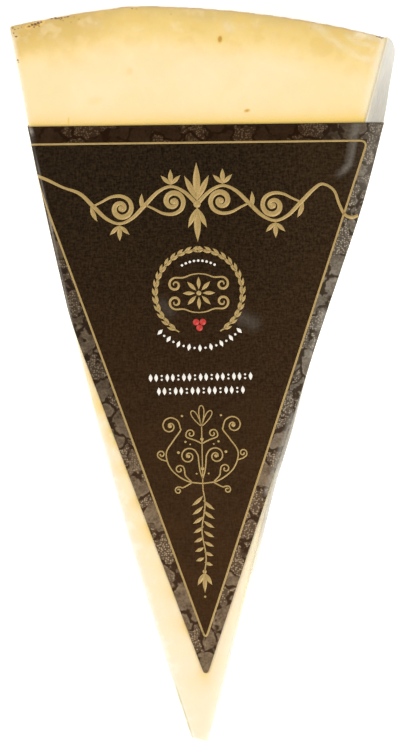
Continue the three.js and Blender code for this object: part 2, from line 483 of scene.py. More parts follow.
def cheese_finish():
    """Butter-yellow paste, tan near the rind, with painted highlights at the cut edges and painted shade
    along the rim's edge and beside the label.
    """
    finish = Finish("cheese")
    place = finish.object_place()
    x, y, z = finish.parts(place)
    from_rim = finish.painted("from_rim")
    from_left = finish.painted("from_left")
    from_right = finish.painted("from_right")
    eye = eyes_in_paste(x - PACK_SHIFT[0], y - PACK_SHIFT[1]) * z.rise(THICKNESS - 1.5, THICKNESS - 0.8)
    clouds = finish.noise(place, 9, 3)
    patches = finish.noise(place, 4.2)
    blotches = finish.noise(place, 2.6, 3, 0.6)
    crinkled = finish.noise(place, 2, 3)
    grain = finish.noise(place, 0.35)
    depth = from_rim + (clouds - 0.5) * 4 + (blotches - 0.5) * 1.6
    edge = from_rim.rise(0.5, 4) * z.rise(THICKNESS - 2.2, THICKNESS - 0.9)
    low = y.rise(-4, -16)
    fold = from_left.rise(0.8, 0.5) * from_left.rise(0.2, 0.45) * y.rise(-60, -66) * edge
    coloured = finish.layers(
        (252, 227, 178),
        (clouds.rise(0.35, 0.7), (254, 231, 188)),
        (x.rise(12, 32) * 0.35, (252, 224, 154)),
        (depth.rise(11, 5), (248, 220, 150)),
        (depth.rise(7.5, 2.5), (236, 207, 127)),
        (depth.rise(3.2, 0.3), (220, 192, 120)),
        (x.rise(-12, -28) * depth.rise(8, 2) * 0.7, (214, 180, 96)),
        (blotches.rise(0.54, 0.66) * depth.rise(9, 3) * 0.4, (232, 206, 152)),
        (patches.rise(0.5, 0.62) * depth.rise(12, 2) * 0.4, (230, 196, 108)),
        (patches.rise(0.42, 0.3) * 0.25, (254, 236, 198)),
        # Painted shade: a darker line along the rim's edge, where the top turns down.
        (from_rim.rise(0.9, 0.1) * 0.6, (196, 172, 126)),
        (y.rise(-5, -70) * 0.8, (249, 230, 205)),
        # Painted highlights: the cut edges paler and whiter where the film's rounded edge catches light,
        # most towards the tip.
        (from_left.rise(4, 1) * edge * low * 0.8, (247, 233, 206)),
        (from_left.rise(1.3, 0.3) * edge * (0.5 + low * 0.4), (245, 240, 228)),
        (from_left.rise(0.5, 0.15) * edge * (0.3 + low * 0.5), (250, 249, 246)),
        (from_right.rise(2.6, 0.3) * edge * 0.85, (249, 240, 216)),
        (from_right.rise(1.3, 0.2) * edge * y.rise(-46, -56) * 0.8, (251, 248, 240)),
        # Painted shade: a greyish line just inside the left edge near the tip, where the film turns down.
        (fold * 0.9, (212, 203, 158)),
        # Painted shade: a deeper yellow beside the label, where the label keeps light out of the translucent
        # paste.
        (finish.painted("label_shade"), (241, 206, 104)),
        (eye.rise(0, 0.55) * 0.9, (240, 202, 112)),
        (eye.rise(0.6, 1), (196, 150, 52)),
        (grain.rise(0.3, 0.75) * 0.06, (208, 172, 104)),
        # Painted highlight: the film's crinkles near the left edge, towards the tip.
        (from_left.rise(3.6, 1) * edge * low * crinkled.rise(0.5, 0.64) * 0.45, (251, 247, 234)),
        # Painted highlight: paler paste under the film's creases, where the folds catch light.
        (finish.painted("haze_and_sheen") * (0.35 + crinkled.rise(0.35, 0.65) * 0.5), (250, 238, 208)),
    )
    return finish.done(
        coloured, 0.42, grain * 0.5 + blotches * 0.5, 0.05, Specular_IOR_Level=0.4, Subsurface_Weight=0.4,
        Subsurface_Scale=0.0004, Subsurface_Radius=(1, 0.66, 0.34),
    )


def rind_finish():
    """Thin dry rind: tan and brown, with the press cloth's weave."""
    finish = Finish("rind")
    place = finish.object_place()
    x, _, z = finish.parts(place)
    crust = finish.noise(place, 0.9, 3, 0.7)
    weave = (x * 5.2).wave() * (z * 5.2).wave()
    coloured = finish.layers(
        (208, 170, 108),
        (finish.noise(place, 5, 4, 0.6).rise(0.3, 0.72), (168, 124, 72)),
        (crust.rise(0.58, 0.7) * 0.7, (116, 78, 44)),
        (weave.rise(-0.2, 1) * 0.3, (228, 200, 148)),
    )
    return finish.done(
        coloured, 0.6, weave * 0.3 + crust * 0.7, 0.16, Subsurface_Weight=0.2,
        Subsurface_Scale=0.001, Subsurface_Radius=(1, 0.6, 0.3),
    )


def film_finish():
    """Clear tight film: it shows where it turns away, is creased or has left the cheese."""
    finish = Finish("film")
    place = finish.object_place()
    turn = finish.node("LayerWeight", {"Blend": 0.25}, output="Facing")
    cloud = finish.noise(place, 3, 3, 0.55)
    streaks = finish.noise(finish.vector("MULTIPLY", place, (1.6, 0.35, 0.6)), 1.2)
    # The creases' haze: partly milky film, partly a painted highlight.
    cover = 0.03 + turn**2 * 0.35 + finish.painted("haze_and_sheen") * (0.04 + cloud * 0.12)
    return finish.done(tint(250, 248, 242), 0.14, streaks, 0.012, cover.smaller(0.85), tint(254, 253, 251),
                       IOR=1.5, Specular_IOR_Level=0.7)


def flange_finish():
    """Two plies of welded film: milky near the rim, greyer below with painted shade for the pack's shadow
    seen through it, clearer by the tip.
    """
    finish = Finish("flange")
    flat = finish.flat_place()
    along, out, _ = finish.parts(flat)
    streaks = finish.noise(finish.vector("MULTIPLY", flat, (0.16, 1.8, 1)), 0.9, 3, 0.6)
    narrow = along.rise(50, 66)
    lower = along.rise(86, 91)
    low = along.rise(99, 106)
    root = out.rise(0.15, -0.3) * (1 - narrow)
    cover = 0.6 + streaks.rise(0.35, 0.75) * 0.16 + finish.noise(flat, 3) * 0.1 + narrow * 0.1 + root * 0.2
    cover = cover * out.rise(-0.88, -0.15) * (1 - narrow * out.rise(0.6, 1)) * (1 - lower * 0.15)
    cover = cover * (1 - low * 0.35) * (1 - along.rise(108, 115) * 0.75)
    coloured = finish.layers(
        (232, 228, 219),
        # Painted shade: greyer below the rim's corner, for the pack's shadow seen through the film.
        (along.rise(1, 18), (188, 183, 172)),
        (streaks.rise(0.35, 0.8) * 0.45, (210, 206, 198)),
        (out.rise(0.9, 0) * (1 - narrow) * 0.3, (226, 220, 204)),
        (root * 0.7, (238, 228, 200)),
        # Painted shade: the narrow part darker, where the flange is seen edge-on over the pack's shadow.
        (narrow * (0.9 - lower * 0.6), (178, 171, 158)),
        (lower * 0.6, (226, 220, 208)),
        (low * 0.9, (226, 217, 198)),
    )
    return finish.done(coloured, 0.2, streaks, 0.02, cover, tint(253, 253, 251), IOR=1.5,
                       Specular_IOR_Level=0.6)


def label_finish():
    """Dark brown paper with a satin varnish, and a border of truffle shapes."""
    finish = Finish("label")
    flat = finish.flat_place()
    across, up, _ = finish.parts(flat)
    rise = up - LINE_FOOT[1]
    turned = up.rise(88, 110) * across.rise(20, 30) * LINE_TURN
    aside = across - LINE_FOOT[0] - rise * LINE_LEAN + turned
    outside = (aside.size() - rise * LINE_SPREAD) / hypot(1, LINE_SPREAD)
    above = up - LINE_TOP
    fade = up.rise(112, 8)
    mottle = finish.noise(flat, 0.5, 3, 0.65)
    thread = finish.noise(finish.vector("MULTIPLY", flat, (1, 0.22, 1)), 0.32, 1)
    cross_thread = finish.noise(finish.vector("MULTIPLY", flat, (0.22, 1, 1)), 0.32, 1)
    weave = (thread + cross_thread) * 0.5
    woven = (mottle * 0.45 + weave * 0.45 + finish.noise(flat, 1.4) * 0.1).rise(0.38, 0.64)
    coloured = finish.layers(
        (18, 8, 0),
        (fade, (58, 34, 12)),
        # Painted reflection: the paper lighter towards the right, where the film's haze and the drooping
        # label catch light.
        (across.rise(6, 30) * 0.35, (52, 34, 16)),
        (finish.noise(flat, 7, 3).rise(0.3, 0.7) * 0.3, (18, 9, 1)),
        (woven * (0.36 + across.rise(0, 30) * 0.15), (78, 60, 38)),
        (outside.larger(above).rise(-0.02, 0.02), label_band(finish, flat, above, fade, across, mottle)),
        # Painted highlights: the film's glints and sheen over the label.
        (finish.painted("painted_sheen") * (0.3 + mottle * 0.55), (184, 176, 162)),
    )
    return finish.done(coloured, 0.3 + mottle * 0.12, weave * 0.5 + mottle * 0.5, 0.02,
                       Specular_IOR_Level=0.13)


def label_band(finish, flat, above, fade, across, mottle):
    """The border: mottled taupe fields parted by dark veins, some stippled, darker on top."""
    wander = finish.noise(flat, 1 / 0.42, output="Color")
    bent = finish.vector("ADD", flat, finish.scaled(wander, 3.6))
    edge = finish.cells(bent, 4.6, feature="DISTANCE_TO_EDGE")
    stippled = finish.parts(finish.cells(bent, 4.6, output="Color"))[0].rise(0.44, 0.5)
    broken = finish.noise(flat, 2.2, 1)
    vein = edge.rise(0.095, 0.045) * broken.rise(0.36, 0.44)
    pale_edge = (edge - 0.13).size().rise(0.03, 0.01) * broken.rise(0.46, 0.56)
    stipple = finish.cells(flat, 0.38, randomness=0.62).rise(0.54, 0.22)
    # Lighter and greyer towards the right, and the dark top less so there: partly the print, partly a
    # painted reflection of the film's haze.
    side = across.rise(-8, 14)
    foot = fade.rise(0.45, 0.85)
    top = above.rise(-1.5, 0.5) * (1 - across.rise(20, 36) * 0.6)
    plain = (0.32 + (mottle - 0.5) * 0.8 + (broken - 0.5) * 0.5) * (1 - top * 0.7)
    tone = plain + (0.14 + stipple * 0.68 - plain) * stippled
    tone = (tone + pale_edge * 0.14 * (1 - top)) * (1 - vein * 0.95)
    dark = finish.layers((38, 26, 15), (side, (54, 42, 29)), (foot, (54, 34, 18)), (top, (30, 12, 0)))
    light = finish.layers((134, 116, 94), (side, (172, 160, 142)), (foot, (178, 153, 122)),
                          (top, (104, 82, 58)))
    return finish.blend(tone.larger(0).smaller(1), dark, light)


def ink_finish(name, colour, shade, metal=0):
    """Raised ink, unevenly laid: its colour drifts towards a shade of it."""
    finish = Finish(name)
    place = finish.object_place()
    uneven = finish.noise(place, 0.5, 3, 0.6)
    drift = uneven.rise(0.35, 0.75) * 0.45 + finish.noise(place, 6) * 0.25
    return finish.done(finish.layers(colour, (drift, shade)), 0.45, uneven, 0.01, Metallic=metal)


def truffle_finish():
    """Dark brown truffle skin with paler veins."""
    finish = Finish("truffle")
    veins = finish.noise(finish.object_place(), 0.4, 3, 0.7)
    coloured = finish.layers((104, 68, 38), (veins.rise(0.45, 0.7), (166, 120, 74)))
    return finish.done(coloured, 0.55, veins, 0.08)


def floor_finish():
    """A pale matt table, lit a little from below."""
    finish = Finish("floor")
    cloud = finish.noise(finish.object_place(), 60)
    coloured = finish.layers((250, 250, 249), (cloud, (252, 252, 251)))
    return finish.done(coloured, 0.9, None, 0, Specular_IOR_Level=0.1, Emission_Color=tint(255, 255, 255),
                       Emission_Strength=0.4)


# The label and its print. Flat places are (across, up): from the print's axis, and above its foot.

LEFT_HALF = np.linalg.norm(TIP_LEFT - RIM_LEFT) / 2
LEFT_RADIUS = (LEFT_HALF**2 + LEFT_BOW**2) / (2 * LEFT_BOW)
LEFT_OUT = right_of(unit(TIP_LEFT - RIM_LEFT))
LEFT_CENTRE = (RIM_LEFT + TIP_LEFT) / 2 + LEFT_OUT * (LEFT_BOW - LEFT_RADIUS)
RIGHT_OUT = right_of(unit(RIM_RIGHT - TIP_RIGHT))


def droop_at(outside):
    """How far the flange and the label on it hang down: their reach squared and scaled."""
    return FLANGE_DROOP * np.maximum(0, outside) ** 2


def past_left_edge(plan):
    """How far a place lies past the line where the left edge begins to turn down."""
    return np.linalg.norm(plan - LEFT_CENTRE, axis=1) - LEFT_RADIUS + UPPER_EDGE


def label_plan(flat):
    """Where the flat label's points come to lie in the plan."""
    return PRINT_FOOT + flat[:, :1] * PRINT_ACROSS + flat[:, 1:2] * PRINT_UP


def lay_on_pack(flat, lift):
    """The flat label's points on the pack, lifted off the film.

    A point lies flat on the wedge and droops beyond its right side. Past the left upper edge the label turns
    down by the length past it over its radius, up to a quarter turn, and then hangs straight.
    """
    plan = label_plan(flat)
    outward = unit(plan - LEFT_CENTRE)
    past = past_left_edge(plan)
    radius = UPPER_EDGE + lift
    quarter = radius * pi / 2
    angle = np.clip(past, 0, quarter) / radius
    reach = LEFT_RADIUS - UPPER_EDGE + radius * np.sin(angle)
    fall = radius * (1 - np.cos(angle)) + np.maximum(0, past - quarter)
    fall = fall + droop_at((plan - RIM_RIGHT) @ RIGHT_OUT)
    spot = np.where((past > 0)[:, None], LEFT_CENTRE + outward * reach[:, None], plan)
    return np.c_[spot, THICKNESS + lift - fall]


# The crease where the film under the label has a fold
LABEL_CREASE = [(32.2, 111.5), (31.2, 106.3), (30.6, 103.4), (29.4, 102.2)]


def label_relief(flat):
    """The label's unevenness: slow ripples and one crease."""
    fold = np.exp(-(distance_to(flat, curve_through(LABEL_CREASE, 24)) / 0.7) ** 2)
    return 0.02 * ripples(flat, 14, 5) + 0.07 * fold


# Painted highlights on the label, where the film over it catches light: a path over it, the half width, and
# the strength
LABEL_HIGHLIGHTS = [
    ([(32.2, 111.4), (31.2, 106.3), (30.6, 103.4), (29.6, 102.3)], 0.6, 0.42),
    ([(29.6, 102.3), (28.6, 101.5)], 0.6, 0.22),
    ([(36.6, 110.5), (35.6, 105), (34, 99.5)], 2, 0.22),
    ([(24.9, 73.8), (24, 70.6)], 0.8, 0.5),
    ([(22.8, 67.7), (21.9, 65.5)], 0.6, 0.45),
    ([(18.2, 53.6), (15.5, 46), (12.6, 38)], 0.5, 0.65),
    ([(8.4, 73.2), (10.8, 72)], 1.3, 0.14),
    ([(-7.4, 76.2), (-6, 74.6)], 1.2, 0.1),
]

# The film's glint where the label turns down on the left: how far up, how far past the edge, how bright
LEFT_GLINT = [(70, 0.8, 0.2), (72.5, 0.8, 0.6), (75, 0.75, 0.75), (78, 0.65, 0.7), (80, 0.6, 0.4),
              (88, 0.5, 0.4), (91, 0.45, 0.6), (93.5, 0.35, 0.95), (96, 0.35, 0.8), (98, 0.4, 0.45),
              (104, 0.45, 0.4), (107, 0.5, 0.15), (110.2, 0.5, 0.1), (110.8, 0.45, 0.5), (111.2, 0.45, 1.4),
              (112.2, 0.45, 1.5)]
GLINT_WIDTH = 0.2


def label_highlights(flat):
    """How much painted highlight each point has: the strongest of the highlights' bell curves and the glint.
    """
    shine = np.zeros(len(flat))
    for path, reach, strength in LABEL_HIGHLIGHTS:
        away = distance_to(flat, np.array(path))
        shine = np.maximum(shine, strength * np.exp(-(away / reach) ** 2))
    up, past, bright = np.array(LEFT_GLINT).T
    aside = past_left_edge(label_plan(flat)) - np.interp(flat[:, 1], up, past)
    glint = np.interp(flat[:, 1], up, bright) * np.exp(-(aside / GLINT_WIDTH) ** 2)
    return np.maximum(shine, glint * (flat[:, 0] < 0))


def half_width(rise):
    """Half the label's width at a rise above where its cut edges meet, its tip rounded."""
    sine = sin(LABEL_HALF_ANGLE)
    centre = LABEL_TIP_RADIUS / sine
    round_part = np.sqrt(np.maximum(LABEL_TIP_RADIUS**2 - (centre - rise) ** 2, 0))
    return np.where(rise < centre - LABEL_TIP_RADIUS * sine, round_part, rise * LABEL_SPREAD)


def label_flat(rises, shares):
    """The flat label's grid by rise and share of half its width, less LABEL_CURL."""
    rise, share = np.meshgrid(rises, shares, indexing="ij")
    width = half_width(rise)
    height, inward = curve_through(LABEL_CURL, 200).T
    up = LABEL_APEX[1] + rise
    curl = np.interp(up, height, inward)
    across = LABEL_APEX[0] + share * (width - np.where(share > 0, curl, 0))
    tilted = up - LABEL_TOP_TILT * across * (up / LABEL_HEIGHT)
    return np.c_[across.ravel(), tilted.ravel()]


def make_label():
    """The label: a grid laid on the pack, given its paper's thickness downwards."""
    start = LABEL_TIP_RADIUS * (1 / sin(LABEL_HALF_ANGLE) - 1)
    straight = np.linspace(start + 1, LABEL_HEIGHT - LABEL_APEX[1], 190)
    rows = np.r_[start + np.array([0.01, 0.06, 0.15, 0.3, 0.5, 0.75]), straight]
    columns = np.r_[np.linspace(-1, -0.84, 33)[:-1], np.linspace(-0.84, 1, 84)]
    flat = label_flat(rows, columns)
    points = lay_on_pack(flat, LABEL_LIFT + label_relief(flat))
    faces = grid_faces(len(rows), len(columns))
    painted = {"painted_sheen": label_highlights(flat)}
    label = make_piece("label_sheet", "label", points, faces, label_finish(), painted, flat)
    paper = label.modifiers.new("paper", "SOLIDIFY")
    paper.thickness = LABEL_PAPER * MM
    paper.offset = -1


class Print:
    """Raised ink on the label: strokes gathered into one piece."""

    def __init__(self, name, finish):
        self.name = name
        self.finish = finish
        self.points = []
        self.faces = []
        self.count = 0

    def stroke(self, path, width):
        """A flat-topped ridge along a path: four points a section, drawn in at the top."""
        path = np.array(path, float)
        width = np.broadcast_to(width, len(path))[:, None] / 2
        sideways = right_of(unit(np.gradient(path, axis=0)))
        inner = np.maximum(width - 0.04, width * 0.55)
        rows = []
        for half, side, lift in ((width, -1, INK_FOOT), (width, 1, INK_FOOT), (inner, 1, INK_HEIGHT),
                                 (inner, -1, INK_HEIGHT)):
            flat = path + sideways * half * side
            rows.append(lay_on_pack(flat, LABEL_LIFT + label_relief(flat) + lift))
        sections = np.stack(rows, axis=1)
        count = len(path)
        self.points.append(sections.reshape(-1, 3))
        ends = np.array([[0, 1, 2, 3], [4 * count - 1, 4 * count - 2, 4 * count - 3, 4 * count - 4]])
        faces = np.r_[grid_faces(count, 4, closed=True)[:, ::-1], ends]
        self.faces.append(faces + self.count)
        self.count += 4 * count

    def both(self, path, width):
        """A stroke and its mirror image across the label's axis."""
        path = np.array(path, float)
        self.stroke(path, width)
        self.stroke(path * (-1, 1), width)

    def dot(self, centre, radius):
        """A round dot: a short stroke whose width is the circle's chord."""
        t = np.cos(np.linspace(pi, 0, 13))
        path = np.asarray(centre) + np.c_[t * radius, np.zeros_like(t)]
        self.stroke(path, 2 * radius * np.sqrt(np.maximum(1 - t**2, 0.01)))

    def leaf(self, start, heading, length, width, curl=0, steps=16):
        """A pointed leaf: a bent path with the width of a sine arch."""
        path = scroll(start, heading, length, curl, curl, steps)
        self.stroke(path, np.maximum(width * np.sin(np.linspace(0, pi, steps)), 0.08))

    def finished(self):
        make_piece(self.name, "label", np.concatenate(self.points), np.concatenate(self.faces), self.finish,
                   replaces=False)


def scroll(start, heading, length, turn_first, turn_last, steps=40):
    """A curl: its heading is the running sum of a turn that changes evenly."""
    run = np.linspace(0, length, steps)
    turn = turn_first * run + (turn_last - turn_first) * run**2 / (2 * length)
    angle = radians(heading) + turn
    step = np.c_[np.cos(angle), np.sin(angle)] * (length / (steps - 1))
    path = np.cumsum(step, axis=0) - step[0]
    return np.asarray(start) + path


def coil(stem, centre, radius, enter, turns, inner=0.3, steps=90):
    """A stem through knots that winds into a spiral, from its radius to inner."""
    knots = max(int(abs(turns) * 9), 4)
    wind = even(knots)
    angle = radians(enter) + wind * turns * 2 * pi
    shrink = radius + (inner - radius) * wind**0.85
    spiral = np.asarray(centre) + shrink[:, None] * np.c_[np.cos(angle), np.sin(angle)]
    return curve_through(np.r_[np.array(stem, float), spiral], steps)


def swelling(thin, thick, steps):
    """Pen pressure along a stroke: thin at the ends and thick in the middle."""
    bell = 1 - np.abs(2 * even(steps) - 1)
    return thin + (thick - thin) * np.sin(bell * pi / 2) ** 1.5


def circle(centre, radius, degrees):
    """The points of a circle at one angle or more."""
    angle = np.radians(degrees)
    return np.asarray(centre) + radius * np.stack([np.cos(angle), np.sin(angle)], axis=-1)


def gold_line():
    """The gold line inside the label's edge: straight sides with bends between them."""
    tall = LINE_TOP - LINE_FOOT[1]
    right = LINE_FOOT + (tall * (LINE_LEAN + LINE_SPREAD) - LINE_TURN, tall - 0.3)
    left = LINE_FOOT + (tall * (LINE_LEAN - LINE_SPREAD), tall + 0.3)
    corners = np.array([LINE_FOOT, right, left])
    ways = unit(np.roll(corners, -1, axis=0) - corners)
    radii = np.array([[1.6], [1.7], [1.7]])
    bends = zip(corners - np.roll(ways, 1, axis=0) * radii, corners, corners + ways * radii)
    turns = [bend(*points, 14) for points in bends]
    straight = even(300)[1:-1, None]
    path = []
    for turn, following in zip(turns, turns[1:] + turns[:1]):
        path += [turn, turn[-1] + straight * (following[0] - turn[-1])]
    path = np.concatenate(path)
    return np.r_[path, path[:2]]


def make_gold_print(finish):
    """The gold print: a line inside the edge, a vine, a wreath, and a lyre on a sprig."""
    line = Print("gold_line", finish)
    line.stroke(gold_line(), LINE_WIDTH)
    line.finished()
    print_flourish(finish)
    print_wreath(finish)
    print_lyre(finish)


def print_flourish(finish):
    """A vine with coils and leaves: a sine, then a curve to each edge."""
    gold = Print("gold_flourish", finish)
    middle, half = VINE_MIDDLE, VINE_HALF_WAVE
    across = np.arange(-2.25, 2.26, 0.25) * half
    wave = np.c_[across, middle + VINE_SWING * np.sin(np.abs(across) * pi / half)]
    axis = len(across) // 2
    to_left_edge = [(-37.2, 103), (-33.6, 102.9), (-30.2, 101.7), (-26.8, 100)]
    to_right_edge = [(25.2, 99.6), (27.4, 98.3), (28.4, 95.6), (29.5, 93.4), (30.9, 92.8), (32.2, 93.2)]
    for knots in (to_left_edge + list(wave[:axis + 1]), list(wave[axis:]) + to_right_edge):
        path = curve_through(knots, 150)
        thinning = np.clip((np.abs(path[:, 0]) - 24) / 12, 0, 1)
        gold.stroke(path, 0.72 - 0.3 * thinning + 0.12 * np.cos(path[:, 0] * 2 * pi / half))
    for k in range(2):
        up = 1 - 2 * k
        stem = [(half * (k + 1), middle), (half * (k + 0.84), middle - 0.75 * up),
                (half * (k + 0.66), middle - 1.7 * up)]
        eye = np.array([half * (k + 0.46), middle + 0.6 * up])
        gold.both(coil(stem, eye, 2.5, -88 * up, -1.5 * up, inner=0.5), swelling(0.42, 1.1, 90))
        for side in (-1, 1):
            gold.dot(eye * (side, 1), 0.62)
            crest = (side * half * (k + 0.5), middle + (VINE_SWING + 0.35) * up)
            for lean, length, width in ((0, 3.1, 1), (46, 2.7, 0.85), (-46, 2.7, 0.85)):
                gold.leaf(crest, (90 + lean) * up, length, width, steps=14)
            bud = (side * (half * (k + 1) + 0.5), middle - 0.55 * up - 0.5)
            gold.leaf(bud, 90 * up - side * 12, 3.4, 0.95, curl=0.1 * side * up, steps=14)
    for heading, length, width in ((90, 7.6, 1.5), (64, 5.6, 1.2), (116, 5.6, 1.2), (270, 6.8, 1.4),
                                   (245, 4.4, 1.1), (295, 4.4, 1.1)):
        foot = middle + copysign(0.7, sin(radians(heading)))
        gold.leaf((0, foot), heading, length, width, steps=20)
    gold.dot((0, middle), 0.75)
    gold.finished()


def print_wreath(finish):
    """A wreath of paired leaves, open at its foot, round a rosette between two scrolls."""
    gold = Print("gold_wreath", finish)
    gold.both(circle(WREATH, WREATH_RADIUS, np.linspace(-62, 86, 60)), 0.3)
    for angle in np.linspace(-57, 82, 14):
        spot = circle(WREATH, WREATH_RADIUS, angle)
        for side in (-1, 1):
            heading = angle + 90 + side * 22
            gold.leaf(spot, heading, 1.85, 0.62, curl=-side * 0.12, steps=10)
            gold.leaf(spot * (-1, 1), 180 - heading, 1.85, 0.62, curl=side * 0.12, steps=10)
    gold.dot(WREATH + (0, WREATH_RADIUS), 0.42)
    for heading in range(0, 360, 45):
        gold.leaf(circle(WREATH, 0.75, heading), heading, 2.5, 0.8, steps=12)
    gold.dot(WREATH, 0.5)
    for up in (-1, 1):
        stem = WREATH + np.array([(0, 3.9), (1.5, 3.7), (3.1, 3.15)]) * (1, up)
        path = coil(stem, WREATH + (4.7, 1.75 * up), 1.4, 85 * up, -1.3 * up, steps=70)
        gold.both(path, swelling(0.26, 0.52, 70))
    gold.finished()


# The lyre's right coils, from its foot: stem, centre, radius, entering angle, turns, inner radius
LYRE_COILS = [
    ([(0, 0), (3.2, 0.6), (6.2, 2.9), (7.2, 6.1), (5.7, 8.7), (4.3, 10.6)],
     (6.35, 11.6), 2.1, 190, -1.45, 0.35),
    ([(0, 1), (0.5, 2.6), (0.75, 4.6)], (2.75, 5.5), 1.9, 175, -1.6, 0.3),
    ([(2.3, 0.45), (3.4, 1.6)], (4.6, 2.9), 1.05, 195, -1.2, 0.22),
    ([(6.95, 4.6), (8, 4.9)], (8.15, 6), 0.95, -80, 1.3, 0.2),
    ([(0, 8), (1.4, 8.7)], (2.2, 10), 1.05, -40, 1.3, 0.2),
    ([(2.2, 0.2), (3.9, -0.7)], (4.9, -1.3), 0.8, 120, -1.25, 0.2),
]
LYRE_DOTS = [(6.35, 11.6, 0.42), (2.75, 5.5, 0.36), (4.75, 6.3, 0.3), (3.3, 8.4, 0.24), (1.2, 2, 0.2),
             (3.9, 13.6, 0.24), (2.35, 7.9, 0.18)]


def print_lyre(finish):
    """A lyre of fine coils with three petals on top, over a hanging sprig."""
    gold = Print("gold_lyre", finish)
    foot = np.array([0, LYRE_FOOT])
    for stem, centre, radius, enter, turns, inner in LYRE_COILS:
        gold.both(coil(foot + stem, foot + centre, radius, enter, turns, inner, steps=110), 0.3)
    for across, up, radius in LYRE_DOTS:
        for side in (-1, 1):
            gold.dot(foot + (side * across, up), radius)
    t = np.linspace(0, 2 * pi, 40)
    swell = np.sin(t / 2) ** 2
    bulge = 0.72 * np.sin(t) * (0.3 + 0.7 * swell)
    for heading, reach in ((90, 4), (58, 3.5), (122, 3.5)):
        way = circle((0, 0), 1, heading)
        petal = foot + (0, 11.4) + (0.2 + reach * swell)[:, None] * way + bulge[:, None] * right_of(way)
        gold.stroke(petal, 0.24)
    gold.stroke(foot + np.c_[np.zeros(40), np.linspace(-1.2, 11.4, 40)], 0.26)
    for up in (3, 8.9):
        gold.dot(foot + (0, up), 0.36)
    sprig_up = np.linspace(LYRE_FOOT - 1.2, 22.6, 60)
    gold.stroke(np.c_[0.35 * np.sin(np.linspace(0, 3 * pi, 60)), sprig_up], 0.3)
    for k, up in enumerate(np.linspace(LYRE_FOOT - 2.4, 25.4, 7)):
        for side in (-1, 1):
            leaf_foot = (0, up - 0.9 * (side > 0))
            gold.leaf(leaf_foot, 90 - side * (142 - 4 * k), 3 - 0.2 * k, 0.72, curl=side * 0.12, steps=12)
    for heading, length in ((270, 4), (240, 2.9), (300, 2.9)):
        gold.leaf((0, 22.4), heading, length, 0.9, steps=14)
    gold.dot((0, 22.6), 0.42)
    gold.dot((0, 17.6), 0.24)
    gold.finished()


def make_white_print(finish):
    """Rows and arcs of small white lozenges and dots."""
    white = Print("white_marks", finish)
    for up, half, count in ((61.5, 10, 19), (58.8, 8.4, 16)):
        for k, across in enumerate(np.linspace(-half, half, count)):
            if k % 3 == 2:
                white.dot((across, up + 0.38), 0.22)
                white.dot((across, up - 0.38), 0.22)
            else:
                white.leaf((across, up - 0.78), 90, 1.56, 0.78, steps=8)
    for angle in np.linspace(60, 120, 9):
        white.dot(circle(WREATH, 6.5, angle), 0.26)
    for k, angle in enumerate(np.linspace(-136, -44, 17)):
        if k % 2:
            white.dot(circle(WREATH, 11, angle), 0.24)
        else:
            white.leaf(circle(WREATH, 10.3, angle), angle, 1.4, 0.74, steps=8)
    white.finished()


def make_red_print(finish):
    """Three small red berries at the foot of the wreath."""
    red = Print("red_berries", finish)
    for spot in ((-0.68, -5.8), (0.68, -5.8), (0, -6.95)):
        red.dot(WREATH + spot, 0.66)
    red.finished()


# Pinched folds of the film on the upper face: path in the plan, height, half width and milkiness, which is
# partly a painted highlight
FILM_CREASES = [
    ([(22.7, 69.5), (25.5, 67.4), (28.6, 64.9), (31.7, 63.2), (35.3, 62.2)], 0.07, 0.7, 0.5),
    ([(31.2, 67.9), (34.2, 67.3), (36.2, 66.7)], 0.07, 0.6, 0.9),
    ([(36.4, 66.4), (35.9, 64), (35, 61)], 0.09, 0.9, 0.9),
    ([(29.4, 67.5), (31.4, 66), (34.8, 65.2)], 0.05, 0.5, 0.5),
    ([(-37.9, 68.3), (-34, 69.1), (-28.5, 70.1)], 0.05, 0.4, 0.08),
    ([(-37.9, 68.3), (-37.2, 64.3)], 0.05, 0.4, 0.3),
    ([(-22.8, 69.6), (-20.4, 69.8)], 0.02, 0.7, 0.3),
    ([(5, 69.8), (5.8, 68.6)], 0.02, 0.8, 0.35),
]


def folded_film(points):
    """The film's folds at each point: how high they stand, and how milky they are, partly as a painted
    highlight.
    """
    height = np.zeros(len(points))
    haze_and_sheen = np.zeros(len(points))
    for path, tall, wide, milk_and_sheen in FILM_CREASES:
        path = np.c_[path, np.full(len(path), THICKNESS)]
        away = distance_to(points, path)
        height = np.maximum(height, tall * np.exp(-away / (wide * 0.5)))
        haze_and_sheen = np.maximum(haze_and_sheen, milk_and_sheen * np.exp(-(away / wide) ** 2))
    return height, haze_and_sheen


def wedge_lines(across, near_rim, up, edge_steps):
    """The grid lines of a fine wedge, closer together beside the rim."""
    along = np.r_[np.linspace(0, 0.8, 130)[:-1], np.linspace(0.8, 1, near_rim)]
    return [grid_lines(core, edge_steps) for core in (even(across), along, even(up))]


def make_film(finish):
    """The clear film: the wedge's skin with its creases and a painted haze, partly milky film and partly
    painted highlight.
    """
    points, outward, faces = wedge_skin(wedge_lines(110, 60, 34, 4), 0)
    height, haze_and_sheen = folded_film(points)
    wrinkled = np.clip(ripples(points, 5, 21) - 0.7, 0, 1) * (outward[:, 2] < 0.5)
    uneven = 0.015 * ripples(points, 7, 22) * (outward[:, 2] > -0.5)
    points = points + outward * (height + uneven)[:, None]
    painted = {"haze_and_sheen": np.clip(haze_and_sheen + 0.2 * wrinkled, 0, 1)}
    make_piece("clear_film", "sealed_bag", points, faces, finish, painted)


